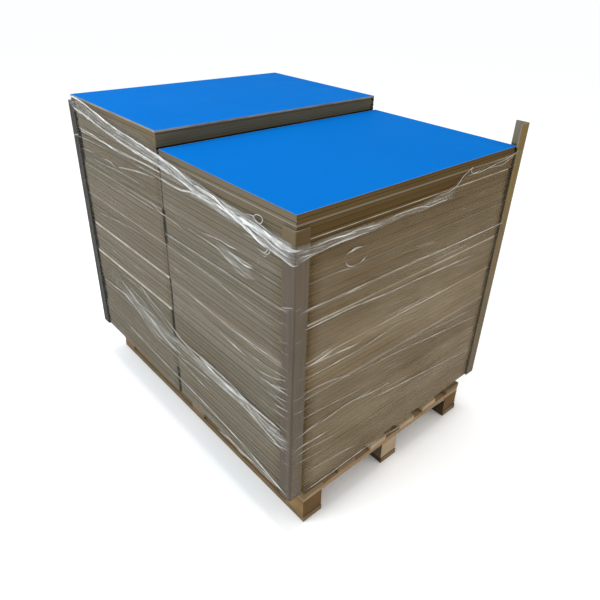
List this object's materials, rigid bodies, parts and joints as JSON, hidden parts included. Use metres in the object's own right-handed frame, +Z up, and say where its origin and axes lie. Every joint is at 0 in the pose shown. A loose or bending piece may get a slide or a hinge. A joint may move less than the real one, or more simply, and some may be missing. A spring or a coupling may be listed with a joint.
{
  "type": "palletised stack of coated hdf boards",
  "caption": "Two stacks of blue-faced HDF boards on a wooden block pallet, held by cardboard corner posts and clear stretch film.",
  "frame": {"origin": "on the floor under the middle of the boards, on the underside of the middle runner", "axes": "+X along the boards' 940 mm side, towards the side with the leaning corner post; +Y along the load's long side, from the lower stack towards the taller one; +Z up"},
  "size_m": [0.9878, 1.2759, 1.11],
  "materials": {
    "hdf_board": "sawn edge of pressed fibre, matte",
    "blue_board": "smooth blue coating on the upper face, satin",
    "pallet_wood": "rough sawn softwood",
    "post_board": "pressed grey-brown board, matte",
    "film": "clear, wrinkled, glossy"
  },
  "bodies": {
    "root": {"near_pack_1": "hdf_board", "near_pack_2": "hdf_board", "near_pack_3": "hdf_board", "near_pack_4": "hdf_board", "near_pack_5": "hdf_board", "near_pack_6": "hdf_board", "near_pack_7": "hdf_board", "near_pack_8": "hdf_board", "far_pack_1": "hdf_board", "far_pack_2": "hdf_board", "far_pack_3": "hdf_board", "far_pack_4": "hdf_board", "far_pack_5": "hdf_board", "far_pack_6": "hdf_board", "far_pack_7": "hdf_board", "far_pack_8": "hdf_board", "near_top_board": "blue_board", "far_top_board": "blue_board", "deck_board_1": "pallet_wood", "deck_board_2": "pallet_wood", "deck_board_3": "pallet_wood", "deck_board_4": "pallet_wood", "deck_board_5": "pallet_wood", "deck_board_6": "pallet_wood", "cross_board_1": "pallet_wood", "cross_board_2": "pallet_wood", "cross_board_3": "pallet_wood", "runner_1": "pallet_wood", "runner_2": "pallet_wood", "runner_3": "pallet_wood", "block_1": "pallet_wood", "block_2": "pallet_wood", "block_3": "pallet_wood", "block_4": "pallet_wood", "block_5": "pallet_wood", "block_6": "pallet_wood", "block_7": "pallet_wood", "block_8": "pallet_wood", "block_9": "pallet_wood", "left_post": "post_board", "front_post": "post_board", "right_post": "post_board", "back_post": "post_board", "stretch_film": "film"}
  },
  "joints": []
}
